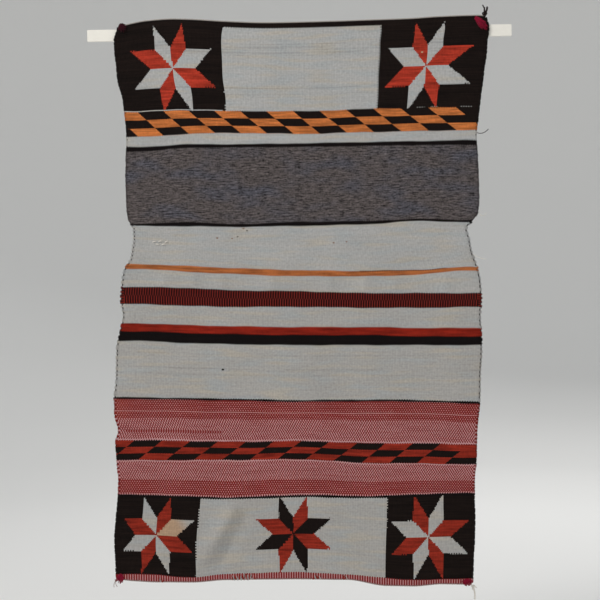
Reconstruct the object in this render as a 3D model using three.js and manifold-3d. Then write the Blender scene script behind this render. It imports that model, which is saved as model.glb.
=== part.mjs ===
// A Navajo saddle blanket that hangs in front of a plain white wooden slat.
// Millimetres, +Z up, +X to the right of someone who faces the blanket from -Y.
// The origin is the centre of the slat's flat back face, and no piece lies behind that face.

import * as THREE from 'three';
import Module from 'manifold-3d';
import { mergeVertices } from 'three/addons/utils/BufferGeometryUtils.js';

const wasm = await Module();
wasm.setup();

// Driving dimensions
const GAP = 0.3; // clearance between neighbouring pieces
const SLAT = { length: 914, width: 25.4, depth: 6, corner: 1.5, edge: 0.6, tilt: 0.8 };
const CLOTH = { thickness: 4, columns: 32 };
const CORD = { end: 3, side: 3.2, sides: 6 }; // diameters of the end cords and side cords
const FLAT_ABOVE = -20; // the cloth lies flat on the slat down to here
const LOOSE_BELOW = -130; // from here down its own unevenness shows in full

// The blanket's sides from the top down: height, and the left and right outer edge there
const SIDES = [
  { z: 38, left: -393, right: 403 },
  { z: 10, left: -393, right: 409 },
  { z: -16, left: -400, right: 405 },
  { z: -38, left: -399, right: 404 },
  { z: -74, left: -395, right: 399 },
  { z: -102, left: -392, right: 396 },
  { z: -145, left: -381, right: 390 },
  { z: -180, left: -377, right: 386 },
  { z: -218, left: -373, right: 382 },
  { z: -260, left: -374, right: 384 },
  { z: -305, left: -375, right: 386 },
  { z: -350, left: -374, right: 387 },
  { z: -384, left: -372, right: 385 },
  { z: -403, left: -369, right: 373 },
  { z: -421, left: -358, right: 360 },
  { z: -445, left: -357, right: 366 },
  { z: -468, left: -360, right: 370 },
  { z: -489, left: -364, right: 377 },
  { z: -511, left: -378, right: 385 },
  { z: -534, left: -382, right: 390 },
  { z: -575, left: -385, right: 392 },
  { z: -608, left: -380, right: 390 },
  { z: -640, left: -386, right: 392 },
  { z: -680, left: -394, right: 393 },
  { z: -743, left: -395, right: 390 },
  { z: -790, left: -399, right: 389 },
  { z: -825, left: -398, right: 386 },
  { z: -855, left: -390, right: 383 },
  { z: -880, left: -396, right: 382 },
  { z: -923, left: -394, right: 381 },
  { z: -962, left: -390, right: 377 },
  { z: -1005, left: -392, right: 377 },
  { z: -1048, left: -396, right: 378 },
  { z: -1091, left: -399, right: 377 },
  { z: -1134, left: -397, right: 375 },
  { z: -1188, left: -395, right: 374 },
];

// How far the top and bottom edges rise and dip across the width
const TOP_EDGE = [
  { x: -393, z: 16 },
  { x: -358, z: 23 },
  { x: -330, z: 28 },
  { x: -272, z: 32 },
  { x: -231, z: 31 },
  { x: -162, z: 27 },
  { x: -76, z: 24 },
  { x: 66, z: 27 },
  { x: 152, z: 30 },
  { x: 238, z: 33 },
  { x: 296, z: 37 },
  { x: 388, z: 40 },
  { x: 409, z: 37 },
];
const BOTTOM_EDGE = [
  { x: -395, z: -1178 },
  { x: -354, z: -1181 },
  { x: -300, z: -1184 },
  { x: -229, z: -1184 },
  { x: -160, z: -1179 },
  { x: 16, z: -1177 },
  { x: 104, z: -1178 },
  { x: 186, z: -1191 },
  { x: 248, z: -1192 },
  { x: 306, z: -1188 },
  { x: 374, z: -1188 },
];

// Soft swells of the hanging cloth: centre, reach to each side, and how far it stands out
const SWELLS = [
  { x: 0, z: -650, reachX: 320, reachZ: 260, out: 4 },
  { x: -365, z: -455, reachX: 45, reachZ: 60, out: 5 },
  { x: 372, z: -448, reachX: 45, reachZ: 60, out: 5 },
  { x: -395, z: -860, reachX: 80, reachZ: 110, out: 4 },
  { x: 385, z: -1010, reachX: 90, reachZ: 170, out: 6 },
  { x: 110, z: -1185, reachX: 130, reachZ: 70, out: 3 },
  { x: -162, z: -1035, reachX: 22, reachZ: 36, out: 2.5 },
  { x: -176, z: -1085, reachX: 22, reachZ: 36, out: 3 },
  { x: -192, z: -1135, reachX: 22, reachZ: 36, out: 2.5 },
];

// Upright cockles in the white band under the middle: where each stands out
const COCKLES = { z: -547, reachX: 20, reachZ: 30, out: 2.4, at: [-289, -231, -169, -59, 63, 141, 201, 313] };

// Tassels: where the head sits, how the strands lean from straight down, and their size
const TASSELS = [
  { name: 'tassel_top_left', x: -382, z: 19, lean: -8, fan: 34, length: 25, colour: 0x2c0a14 },
  { name: 'tassel_top_right', x: 385, z: 31, lean: 34, fan: 30, length: 30, colour: 0x5a0c1e },
  { name: 'tassel_bottom_left', x: -386, z: -1168, lean: -4, fan: 36, length: 20, colour: 0x5c0c24 },
  { name: 'tassel_bottom_right', x: 367, z: -1179, lean: -72, fan: 34, length: 19, colour: 0x60081c },
];
const TASSEL = { strands: 11, head: 4.2, depth: 3.2, strand: 1.7, tip: 1.1, sides: 4, joints: 3, layers: 2 };

// Knots just off the cloth's corners with the ends of the edge cords: each end is its way from
// the knot, how far it bows to the right on that way, and its thickness
const KNOTS = [
  {
    name: 'cord_ends_top_right',
    corner: 'topRight',
    dx: 3.3,
    dz: 3.6,
    ends: [
      { dx: -7, dz: 24, bow: 3, thick: 1.5 },
      { dx: -1, dz: 19, bow: 2, thick: 1.5 },
      { dx: 5, dz: 9, bow: 1, thick: 1.2 },
    ],
    colour: 0x3a2822,
  },
  {
    name: 'thread_bottom_right',
    corner: 'bottomRight',
    dx: 3.1,
    dz: -3.1,
    ends: [
      { dx: 4, dz: -36, bow: 1.5, thick: 1.1 },
      { dx: 12, dz: -7, bow: 1, thick: 1.0 },
    ],
    colour: 0xb8b0a2,
  },
  {
    name: 'thread_bottom_left',
    corner: 'bottomLeft',
    dx: -3.1,
    dz: -3.1,
    ends: [
      { dx: -4, dz: -15, bow: -2, thick: 1.1 },
      { dx: 3, dz: -14, bow: -2, thick: 1.0 },
    ],
    colour: 0x8a6f66,
  },
];
const KNOT = { size: 2.4, joints: 4 };

// Weft ends that stand out of the right edge: height, then their bend and tip, each from the root
const LOOSE_ENDS = [
  { name: 'loose_end_dark', z: -215, bend: [13, -5], tip: [24, 8], thick: 1.1, colour: 0x2a201c },
  { name: 'loose_end_white_upper', z: -386, bend: [9, -15], tip: [17, -1], thick: 1.2, colour: 0xc8c2b4 },
  { name: 'loose_end_white_lower', z: -476, bend: [14, -10], tip: [28, -11], thick: 1.2, colour: 0xc8c2b4 },
];
const LOOSE_JOINTS = 6;

const COLOURS = { cloth: 0x9a8f86, endCord: 0x8d8580, lowCord: 0xa08984, sideCord: 0x231815, slat: 0xe4e0d6 };

// A column of a table read between its rows, which run in the order of `by`
function between(rows, by, at, column) {
  const rising = rows[rows.length - 1][by] > rows[0][by];
  const after = rows.findIndex((row) => (rising ? row[by] >= at : row[by] <= at));
  if (after === 0) return rows[0][column];
  if (after < 0) return rows[rows.length - 1][column];
  const low = rows[after - 1];
  const high = rows[after];
  return low[column] + ((at - low[by]) / (high[by] - low[by])) * (high[column] - low[column]);
}

// How far the middle of the cloth stands out past its place on the slat
function swell(x, z) {
  const bump = (s) => s.out * Math.exp(-(((x - s.x) / s.reachX) ** 2) - ((z - s.z) / s.reachZ) ** 2);
  let out = 0;
  for (const s of SWELLS) out += bump(s);
  for (const at of COCKLES.at) out += bump({ ...COCKLES, x: at });
  return out * (1 - THREE.MathUtils.smoothstep(z, LOOSE_BELOW, FLAT_ABOVE));
}

// The cloth's middle surface: across runs 0 to 1 from left to right, row counts down SIDES
const middleY = -(SLAT.depth + GAP + CLOTH.thickness / 2);
const highest = SIDES[0].z;
const lowest = SIDES[SIDES.length - 1].z;

// One side's outer edge at a share of the way down from the top corner on that side
function outerEdge(side, down) {
  const end = side === 'left' ? 0 : -1;
  const top = TOP_EDGE.at(end).z;
  const bottom = BOTTOM_EDGE.at(end).z;
  return between(SIDES, 'z', top + down * (bottom - top), side);
}

function clothPoint(across, row, inset = 0) {
  const down = (highest - SIDES[row].z) / (highest - lowest);
  const left = outerEdge('left', down) + inset;
  const right = outerEdge('right', down) - inset;
  const x = left + across * (right - left);
  const top = between(TOP_EDGE, 'x', x, 'z') - inset;
  const bottom = between(BOTTOM_EDGE, 'x', x, 'z') + inset;
  const z = top + down * (bottom - top);
  return new THREE.Vector3(x, middleY - swell(x, z), z);
}

const frontY = (x, z) => middleY - swell(x, z) - CLOTH.thickness / 2;

// The cloth stops short of the outer edge, where its cords run
const edgeInset = CORD.side + GAP;

function blanketGeometry() {
  const rows = SIDES.length - 1;
  const sheet = new THREE.BoxGeometry(1, 1, 1, CLOTH.columns, 1, rows);
  const position = sheet.attributes.position;
  for (let i = 0; i < position.count; i += 1) {
    const row = Math.round((0.5 - position.getZ(i)) * rows);
    const point = clothPoint(position.getX(i) + 0.5, row, edgeInset);
    position.setXYZ(i, point.x, point.y + position.getY(i) * CLOTH.thickness, point.z);
  }
  return sheet;
}

// A closed tube of rings on the given centres, square to the way the centres run
function tubeGeometry(centres, radiusAt, sides) {
  const steps = centres.length - 1;
  const tube = new THREE.CylinderGeometry(1, 1, 1, sides, steps);
  const position = tube.attributes.position;
  const facing = new THREE.Vector3(0, 1, 0);
  for (let i = 0; i < position.count; i += 1) {
    const step = Math.round((position.getY(i) + 0.5) * steps);
    const before = centres[Math.max(step - 1, 0)];
    const after = centres[Math.min(step + 1, steps)];
    const along = new THREE.Vector3().subVectors(after, before).normalize();
    const sideways = new THREE.Vector3().crossVectors(along, facing).normalize();
    const outwards = new THREE.Vector3().crossVectors(sideways, along);
    const radius = radiusAt(step / steps);
    const point = centres[step].clone();
    point.addScaledVector(sideways, position.getX(i) * radius);
    point.addScaledVector(outwards, position.getZ(i) * radius);
    position.setXYZ(i, point.x, point.y, point.z);
  }
  return tube;
}

// A cord that follows one edge of the cloth, GAP away from it on the left-hand side of its run
function edgeCordGeometry(edge, diameter) {
  const radius = diameter / 2;
  const centres = edge.map((point, i) => {
    const arriving = new THREE.Vector3().subVectors(point, edge[Math.max(i - 1, 0)]);
    const leaving = new THREE.Vector3().subVectors(edge[Math.min(i + 1, edge.length - 1)], point);
    if (arriving.lengthSq() === 0) arriving.copy(leaving);
    if (leaving.lengthSq() === 0) leaving.copy(arriving);
    const turn = arriving.angleTo(leaving);
    const along = arriving.normalize().add(leaving.normalize()).normalize();
    const outward = new THREE.Vector3(-along.z, 0, along.x).normalize();
    return point.clone().addScaledVector(outward, (GAP + radius) / Math.cos(turn / 2));
  });
  return tubeGeometry(centres, () => radius, CORD.sides);
}

// The four edges of the cloth, each run with the cloth on its right-hand side
const lastRow = SIDES.length - 1;
const clothColumns = Array.from({ length: CLOTH.columns + 1 }, (_, i) => i / CLOTH.columns);
const EDGES = {
  top: clothColumns.map((across) => clothPoint(across, 0, edgeInset)),
  right: SIDES.map((_, row) => clothPoint(1, row, edgeInset)),
  bottom: clothColumns.map((across) => clothPoint(1 - across, lastRow, edgeInset)),
  left: SIDES.map((_, row) => clothPoint(0, lastRow - row, edgeInset)),
};
const CORNERS = { topRight: EDGES.right[0], bottomRight: EDGES.bottom[0], bottomLeft: EDGES.left[0] };

// Several closed forms fused into one
function solidOf(geometry) {
  const bare = geometry.clone();
  bare.deleteAttribute('normal');
  bare.deleteAttribute('uv');
  const merged = mergeVertices(bare, 1e-4);
  const vertProperties = new Float32Array(merged.attributes.position.array);
  const triVerts = new Uint32Array(merged.index.array);
  return new wasm.Manifold(new wasm.Mesh({ numProp: 3, vertProperties, triVerts }));
}

function fused(forms) {
  let whole = solidOf(forms[0]);
  for (const form of forms.slice(1)) whole = whole.add(solidOf(form));
  const mesh = whole.getMesh();
  const geometry = new THREE.BufferGeometry();
  geometry.setAttribute('position', new THREE.BufferAttribute(new Float32Array(mesh.vertProperties), 3));
  geometry.setIndex(new THREE.BufferAttribute(new Uint32Array(mesh.triVerts), 1));
  geometry.computeVertexNormals();
  return geometry;
}

function headGeometry(centre, size, depth) {
  const head = new THREE.SphereGeometry(1, 8, 6);
  head.rotateX(Math.PI / 2);
  head.scale(size, depth, size);
  head.translate(centre.x, centre.y, centre.z);
  return head;
}

// A strand that leaves `from` at an angle to straight down and stays in front of the cloth
function strandGeometry(from, angle, length, layer) {
  const centres = [];
  for (let joint = 0; joint <= TASSEL.joints; joint += 1) {
    const reach = (joint / TASSEL.joints) * length;
    const x = from.x + Math.sin(angle) * reach;
    const z = from.z - Math.cos(angle) * reach;
    const clear = TASSEL.strand * (0.5 + layer) + 2 * GAP;
    const y = joint === 0 ? from.y : frontY(x, z) - clear;
    centres.push(new THREE.Vector3(x, y, z));
  }
  const radius = (share) => (TASSEL.strand + share * (TASSEL.tip - TASSEL.strand)) / Math.SQRT2;
  return tubeGeometry(centres, radius, TASSEL.sides);
}

function tasselGeometry({ x, z, lean, fan, length }) {
  const head = new THREE.Vector3(x, frontY(x, z) - GAP - TASSEL.depth, z);
  const forms = [headGeometry(head, TASSEL.head, TASSEL.depth)];
  for (let i = 0; i < TASSEL.strands; i += 1) {
    const share = i / (TASSEL.strands - 1);
    const angle = THREE.MathUtils.degToRad(lean + (share - 0.5) * fan * 2);
    const layer = i % TASSEL.layers;
    const reach = length * (0.86 + 0.14 * Math.sin(i * 2.4));
    forms.push(strandGeometry(head, angle, reach, layer));
  }
  return fused(forms);
}

// A knot with its loose ends, each a bowed strand in the plane of the cloth
function knotGeometry({ corner, dx: aside, dz: above, ends }) {
  const centre = CORNERS[corner].clone().add(new THREE.Vector3(aside, 0, above));
  const forms = [headGeometry(centre, KNOT.size, KNOT.size)];
  for (const { dx, dz, bow, thick } of ends) {
    const centres = [];
    for (let joint = 0; joint <= KNOT.joints; joint += 1) {
      const share = joint / KNOT.joints;
      const sideways = bow * Math.sin(share * Math.PI);
      const step = new THREE.Vector3(dx * share + sideways, 0, dz * share);
      centres.push(centre.clone().add(step));
    }
    forms.push(tubeGeometry(centres, () => thick / Math.SQRT2, TASSEL.sides));
  }
  return fused(forms);
}

// A weft end that starts just outside the right cord and bends down and away
function looseEndGeometry({ z, bend, tip, thick }) {
  const below = EDGES.right.findIndex((point) => point.z <= z);
  const upper = EDGES.right[below - 1];
  const lower = EDGES.right[below];
  const edge = upper.clone().lerp(lower, (upper.z - z) / (upper.z - lower.z));
  const outward = new THREE.Vector3(upper.z - lower.z, 0, lower.x - upper.x).normalize();
  const start = edge.clone().addScaledVector(outward, CORD.side + 2.5 * GAP);
  const from = (offset) => start.clone().add(new THREE.Vector3(offset[0], 0, offset[1]));
  const curve = new THREE.QuadraticBezierCurve3(start, from(bend), from(tip));
  return tubeGeometry(curve.getPoints(LOOSE_JOINTS), () => thick / Math.SQRT2, TASSEL.sides);
}

function slatGeometry() {
  const { length, width, depth, corner, edge } = SLAT;
  const x = length / 2 - edge;
  const z = width / 2 - edge;
  const outline = new THREE.Shape();
  outline.moveTo(-x + corner, -z);
  outline.lineTo(x - corner, -z);
  outline.quadraticCurveTo(x, -z, x, -z + corner);
  outline.lineTo(x, z - corner);
  outline.quadraticCurveTo(x, z, x - corner, z);
  outline.lineTo(-x + corner, z);
  outline.quadraticCurveTo(-x, z, -x, z - corner);
  outline.lineTo(-x, -z + corner);
  outline.quadraticCurveTo(-x, -z, -x + corner, -z);
  const bevel = { bevelThickness: edge, bevelSize: edge, bevelSegments: 1 };
  const slat = new THREE.ExtrudeGeometry(outline, { depth: depth - 2 * edge, curveSegments: 3, ...bevel });
  slat.translate(0, 0, edge);
  return slat;
}

function mesh(name, geometry, color, roughness = 0.95) {
  const piece = new THREE.Mesh(geometry, new THREE.MeshStandardMaterial({ color, roughness, metalness: 0 }));
  piece.name = name;
  return piece;
}

// The slat stands on edge with its back at y = 0 and its left end a little lower
function hangingSlat() {
  const slat = mesh('slat', slatGeometry(), COLOURS.slat, 0.6);
  slat.rotation.x = Math.PI / 2;
  const tilted = new THREE.Group();
  tilted.rotation.y = -THREE.MathUtils.degToRad(SLAT.tilt);
  tilted.add(slat);
  return tilted;
}

const group = new THREE.Group();
group.add(mesh('blanket', blanketGeometry(), COLOURS.cloth));
group.add(mesh('top_cord', edgeCordGeometry(EDGES.top, CORD.end), COLOURS.endCord));
group.add(mesh('bottom_cord', edgeCordGeometry(EDGES.bottom, CORD.end), COLOURS.lowCord));
group.add(mesh('left_cord', edgeCordGeometry(EDGES.left, CORD.side), COLOURS.sideCord));
group.add(mesh('right_cord', edgeCordGeometry(EDGES.right, CORD.side), COLOURS.sideCord));
for (const tassel of TASSELS) group.add(mesh(tassel.name, tasselGeometry(tassel), tassel.colour));
for (const knot of KNOTS) group.add(mesh(knot.name, knotGeometry(knot), knot.colour));
for (const end of LOOSE_ENDS) group.add(mesh(end.name, looseEndGeometry(end), end.colour));
group.add(hangingSlat());

export default group;
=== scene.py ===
import math
import random
from collections import namedtuple

import bpy
import numpy as np
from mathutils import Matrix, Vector


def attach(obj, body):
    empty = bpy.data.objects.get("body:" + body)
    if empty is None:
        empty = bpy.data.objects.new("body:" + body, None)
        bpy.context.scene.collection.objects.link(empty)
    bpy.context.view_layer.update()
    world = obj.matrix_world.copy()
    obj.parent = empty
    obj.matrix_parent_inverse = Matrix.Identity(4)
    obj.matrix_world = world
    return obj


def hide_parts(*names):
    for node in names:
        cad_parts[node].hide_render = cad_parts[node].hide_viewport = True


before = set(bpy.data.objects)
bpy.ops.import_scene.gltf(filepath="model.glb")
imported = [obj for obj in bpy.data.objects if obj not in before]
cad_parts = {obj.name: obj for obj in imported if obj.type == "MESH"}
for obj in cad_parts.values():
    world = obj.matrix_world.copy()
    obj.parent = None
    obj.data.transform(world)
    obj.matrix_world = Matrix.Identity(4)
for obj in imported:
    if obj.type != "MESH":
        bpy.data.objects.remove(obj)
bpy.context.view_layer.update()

# A Navajo saddle blanket on its hanging slat. Sizes are millimetres in the frame of the solids:
# X to the right, Z up, the slat's back at y = 0 and the blanket in front of it, towards -Y.
MM = 0.001
MM_IN_METRE = 1000.0


def table(columns, *rows):
    """Rows of values under named columns."""
    kind = namedtuple("Row", columns)
    return [kind(*row) for row in rows]


def column(rows, name):
    return np.array([getattr(row, name) for row in rows], float)


def named(rows, name):
    return next(row for row in rows if row.name == name)


# Driving dimensions, as in the part's source
GAP = 0.3
SLAT_DEPTH = 6.0
THICKNESS = 4.0
END_CORD = 3.0
SIDE_CORD = 3.2
INSET = SIDE_CORD + GAP
MIDDLE = -(SLAT_DEPTH + GAP + THICKNESS / 2)
FLAT_ABOVE = -20.0
LOOSE_BELOW = -130.0

SIDES = table(
    "z left right",
    (38, -393, 403),
    (10, -393, 409),
    (-16, -400, 405),
    (-38, -399, 404),
    (-74, -395, 399),
    (-102, -392, 396),
    (-145, -381, 390),
    (-180, -377, 386),
    (-218, -373, 382),
    (-260, -374, 384),
    (-305, -375, 386),
    (-350, -374, 387),
    (-384, -372, 385),
    (-403, -369, 373),
    (-421, -358, 360),
    (-445, -357, 366),
    (-468, -360, 370),
    (-489, -364, 377),
    (-511, -378, 385),
    (-534, -382, 390),
    (-575, -385, 392),
    (-608, -380, 390),
    (-640, -386, 392),
    (-680, -394, 393),
    (-743, -395, 390),
    (-790, -399, 389),
    (-825, -398, 386),
    (-855, -390, 383),
    (-880, -396, 382),
    (-923, -394, 381),
    (-962, -390, 377),
    (-1005, -392, 377),
    (-1048, -396, 378),
    (-1091, -399, 377),
    (-1134, -397, 375),
    (-1188, -395, 374),
)
TOP_EDGE = table(
    "x z",
    (-393, 16),
    (-358, 23),
    (-330, 28),
    (-272, 32),
    (-231, 31),
    (-162, 27),
    (-76, 24),
    (66, 27),
    (152, 30),
    (238, 33),
    (296, 37),
    (388, 40),
    (409, 37),
)
BOTTOM_EDGE = table(
    "x z",
    (-395, -1178),
    (-354, -1181),
    (-300, -1184),
    (-229, -1184),
    (-160, -1179),
    (16, -1177),
    (104, -1178),
    (186, -1191),
    (248, -1192),
    (306, -1188),
    (374, -1188),
)
SWELLS = table(
    "x z reach_x reach_z out",
    (0, -650, 320, 260, 4),
    (-365, -455, 45, 60, 5),
    (372, -448, 45, 60, 5),
    (-395, -860, 80, 110, 4),
    (385, -1010, 90, 170, 6),
    (110, -1185, 130, 70, 3),
    (-162, -1035, 22, 36, 2.5),
    (-176, -1085, 22, 36, 3),
    (-192, -1135, 22, 36, 2.5),
)
# Finer folds than the solids carry: each runs from one point to another
FOLDS = table(
    "x0 z0 x1 z1 half_width out",
    (-146, -1032, -203, -1126, 17, 9.5),
    (-117, -1042, -169, -1136, 14, -4.4),
)
# Upright cockles in the white band under the middle: a low swell each, with a narrow crest
COCKLES = table(
    "x foot_x",
    (-289, -292),
    (-231, -229),
    (-169, -171),
    (-59, -58),
    (63, 65),
    (141, 140),
    (201, 203),
    (313, 311),
)
SWELLS += table("x z reach_x reach_z out", *((row.x, -547, 20, 30, 2.4) for row in COCKLES))
FOLDS += table(
    "x0 z0 x1 z1 half_width out",
    *((row.x, -528, row.foot_x, -566, 11, 1.8) for row in COCKLES),
)

# The weave. Every weft line has a woven distance down from the top edge, and the heights at
# which it really lies at seven stations, because a hand-beaten line is never quite straight.
WOVEN_WIDTH = 780.0
WOVEN_LENGTH = 1213.7
STATIONS = (-354, -235, -149, 1, 152, 259, 367)
LINES = table(
    "name down heights",
    ("checks above", 196.7, (-171, -167, -169, -169, -164, -162, -160)),
    ("white under checks", 246.2, (-225, -218, -216, -218, -214, -212, -210)),
    ("black over grey", 267.7, (-246, -240, -240, -238, -235, -233, -231)),
    ("grey", 275.0, (-256, -248, -247, -246, -244, -242, -242)),
    ("black under grey", 436.5, (-412, -407, -412, -407, -405, -401, -403)),
    ("white over orange", 444.0, (-416, -417, -418, -416, -412, -405, -408)),
    ("orange", 537.5, (-498, -502, -506, -511, -513, -511, -504)),
    ("white under orange", 549.3, (-508, -515, -519, -524, -524, -520, -511)),
    ("bars", 585.9, (-547, -549, -554, -556, -560, -560, -560)),
    ("white under bars", 620.3, (-584, -588, -590, -590, -592, -592, -590)),
    ("red", 662.2, (-625, -629, -631, -633, -633, -635, -635)),
    ("black under red", 679.4, (-642, -646, -648, -650, -650, -653, -653)),
    ("wide white", 700.9, (-663, -668, -670, -672, -672, -672, -672)),
    ("black over twill", 818.4, (-784, -786, -787, -790, -789, -790, -793)),
    ("upper twill", 824.0, (-788, -790, -791, -794, -793, -794, -798)),
    ("checks below", 910.5, (-876, -878, -880, -878, -883, -883, -885)),
    ("lower twill", 951.4, (-919, -919, -919, -917, -926, -926, -928)),
    ("black under twill", 1023.8, (-993, -997, -999, -994, -996, -992, -989)),
    ("stars below", 1030.2, (-998, -1001, -1003, -999, -1001, -997, -994)),
    ("border", 1198.6, (-1164, -1171, -1164, -1160, -1169, -1177, -1173)),
)
LINE_DOWNS = np.array([0.0, *column(LINES, "down"), WOVEN_LENGTH])
HAND = table("size length turn", (0.45, 23.0, 1.7), (0.3, 9.7, 2.9))  # how a weft line wavers

# Eight-point stars: centre, where the corners between rays lie across and down from it, how far
# the level and the upright tips reach, how much longer the right tips and the lower tips are than
# that, how far each leans to the right on its way down, how steeply its left half sinks and its
# right half rises, whether it is turned over left to right, and its two yarns
STARS = table(
    "x z corner_x corner_z reach_x reach_z longer deeper lean sinks rises turned dark light",
    (-272.2, -76.6, 33.1, 41.1, 87.4, 94.6, 0.0, 0.0, 0.13, 0.055, 0.0, 1, "bright red", "white"),
    (272.0, -71.2, 32.9, 41.4, 91.6, 94.0, 7.5, 0.0, -0.1, 0.06, 0.037, -1, "bright red", "white"),
    (-308.0, -1080.5, 31.0, 34.6, 75.0, 82.5, 5.0, 0.0, -0.03, -0.02, -0.047, 1, "deep red", "white"),
    (-13.3, -1077.4, 31.4, 33.1, 82.0, 81.5, 0.0, 4.8, 0.0, 0.023, 0.0, 1, "deep red", "brown"),
    (277.2, -1083.8, 33.3, 35.9, 82.5, 92.0, 3.0, 0.0, 0.0, 0.045, 0.0, -1, "deep red", "white"),
)
STAR = {"level_notch": 1.43, "upright_notch": 1.07, "tip_aside": 0.94}  # in units of the corners
STAR_WANDER = 2.0  # the width within which a star's outline strays
CREAM_STAR = 2  # the row of STARS with one ray in cream, which fades towards its tip
CREAM_FADE = (52.0, 92.0)
CREAM_LEAN = 0.6  # how far the fade slants, for each millimetre up

PANELS = table(
    "left left_low right right_low top bottom",
    (-167.0, -168.0, 165.6, 165.6, 12.0, 196.7),
    (-210.3, -216.8, 200.6, 199.6, 1029.9, 1198.6),
)
# Notches and slow wander along the sides of a panel
PANEL_EDGE = {"step": 2.9, "notch": 1.5, "wander": 1.6, "wander_length": 9.0}

CHECKS = table(
    "line start pitch rows slant bulge light",
    ("checks above", -347.8, 57.1, 3, 1.19, 9.4, "orange"),
    ("checks below", -354.5, 59.85, 3, -1.27, 0.0, "deep red"),
)
# The bulge ends at the bow, and the edges stray and step a little with the weave
CHECK = {"bow": 350.0, "wander": 3.0, "stepped": 0.4, "tooth": 0.4, "least_down": 0.01}
CHECK_ENDS = table(  # where a side's last checks are dark or light, whatever the rows would give
    "line left right top bottom dark",
    ("checks above", -400, -352, 213.0, 229.6, True),
    ("checks above", 352, 400, 213.0, 229.6, True),
    ("checks below", 340, 400, 900.0, 924.2, False),
    ("checks below", 355, 400, 938.0, 960.0, True),
)

# Red bars on black: where they change places, how much of a pair of warps each takes, where the
# side edges begin, and how much of four picks is red there
BARS = {"change": 602.5, "share": 0.38, "edge": 386.0, "edge_share": 0.55}

# The twills, in woven distances: pale stretches, single light rows and the darker upper left end
TWILL = {
    "pair": 5.3,
    "rise": 8.2,
    "light": 0.14,
    "paler": 0.27,
    "paler_from": 863.0,
    "paler_to": 992.0,
    "light_line": (847.5, 849.5),
    "line_strength": 0.35,
    "over_checks": (907.0, 910.5),
    "under_checks": (951.4, 954.0),
    "edge_light": 0.4,
    "dashes": (887.6, 893.4),
    "dashes_across": (-375.0, -165.0),
    "dash": 0.4,
    "dash_strength": 0.5,
    "last_picks": (1020.6, 1024.5),
    "deep_end": (345.0, 384.0),
    "deep_above": 868.0,
    "deep": 0.8,
}
DIAMOND = {"long": 22, "high": 12, "layer": 14.0, "turning": 2.4, "spread": 3.0, "soft": 0.3}
TICKS = 0.85  # how far the border's ticks come up to the light yarn

EDGE_PICKS = table(  # single picks along the band edges: on all warps, or on every other one
    "top bottom left right broken strength yarn",
    (194.4, 196.4, -400, -175, False, 1.0, "white"),
    (194.0, 196.0, 252, 271, True, 0.7, "white"),
    (194.0, 196.0, 283, 299, True, 0.7, "white"),
    (194.0, 196.0, 349, 376, True, 0.7, "white"),
    (535.8, 538.6, 130, 325, True, 1.0, "brown"),
)
BROKEN_PICK = 0.45  # how much of each two warps a broken pick covers

# Yarn colours, as they look in daylight
YARNS = {
    "white": (178, 177, 175),
    # warmer and a little darker than the upper white: the darkening is painted shade towards the bottom
    "low white": (173, 170, 166),
    "cool white": (168, 173, 175),
    "cream white": (187, 176, 158),
    "brown": (23, 15, 12),
    "black": (15, 9, 9),
    "orange": (193, 112, 59),
    "stripe orange": (170, 99, 55),
    "bright red": (170, 54, 37),
    "deep red": (140, 42, 28),
    "stripe red": (134, 33, 19),
    "bar red": (120, 33, 25),
    "twill red": (126, 27, 24),
    "twill white": (197, 149, 150),
    "grey": (87, 80, 79),
    "blue grey": (80, 79, 86),
    "cream": (183, 153, 126),
    "tan": (136, 105, 83),
    "light cord": (168, 161, 154),
    "pinkish cord": (156, 132, 127),
    "dark cord": (36, 26, 24),
    "maroon": (56, 14, 25),
    "crimson": (132, 17, 45),
    "thread white": (222, 217, 208),
    "thread pink": (136, 105, 96),
    "paint": (238, 234, 224),
    "studio": (236, 235, 232),
}

CAMERA = {"x": 1.1, "z": -575.0, "distance": 3200.0, "width": 1290.0}
SENSOR = 36.0


def smooth(xs, ys, at):
    """A table read at any places, along a curve that never overshoots its rows."""
    xs, ys, at = np.asarray(xs, float), np.asarray(ys, float), np.asarray(at, float)
    if xs[0] > xs[-1]:
        xs, ys = xs[::-1], ys[::-1]
    step = np.diff(xs)
    slope = np.diff(ys) / step
    before, after = slope[:-1], slope[1:]
    tangent = np.zeros(len(xs))
    same_way = before * after > 0
    tangent[1:-1][same_way] = (2 * before * after)[same_way] / (before + after)[same_way]
    row = np.clip(np.searchsorted(xs, at, side="right") - 1, 0, len(xs) - 2)
    share = np.clip((at - xs[row]) / step[row], 0, 1)
    rest = 1 - share
    value = ys[row] * (1 + 2 * share) * rest**2 + ys[row + 1] * share**2 * (3 - 2 * share)
    value += step[row] * share * rest * (tangent[row] * rest - tangent[row + 1] * share)
    return value


# Slight unevenness of the hanging cloth: seeded waves of a hand's breadth and less
WAVE = {"count": 14, "shortest": 34, "longest": 150, "rise": 0.0042}  # rise is a share of the length


def seeded_waves():
    dice = random.Random(7)
    waves = []
    for _ in range(WAVE["count"]):
        length = dice.uniform(WAVE["shortest"], WAVE["longest"])
        heading = dice.uniform(0, math.pi)
        waves.append(
            {
                "across": math.cos(heading) * math.tau / length,
                "up": math.sin(heading) * math.tau / length,
                "turn": dice.uniform(0, math.tau),
                "out": WAVE["rise"] * length * dice.uniform(0.5, 1.0),
            }
        )
    return waves


WAVES = seeded_waves()


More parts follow.
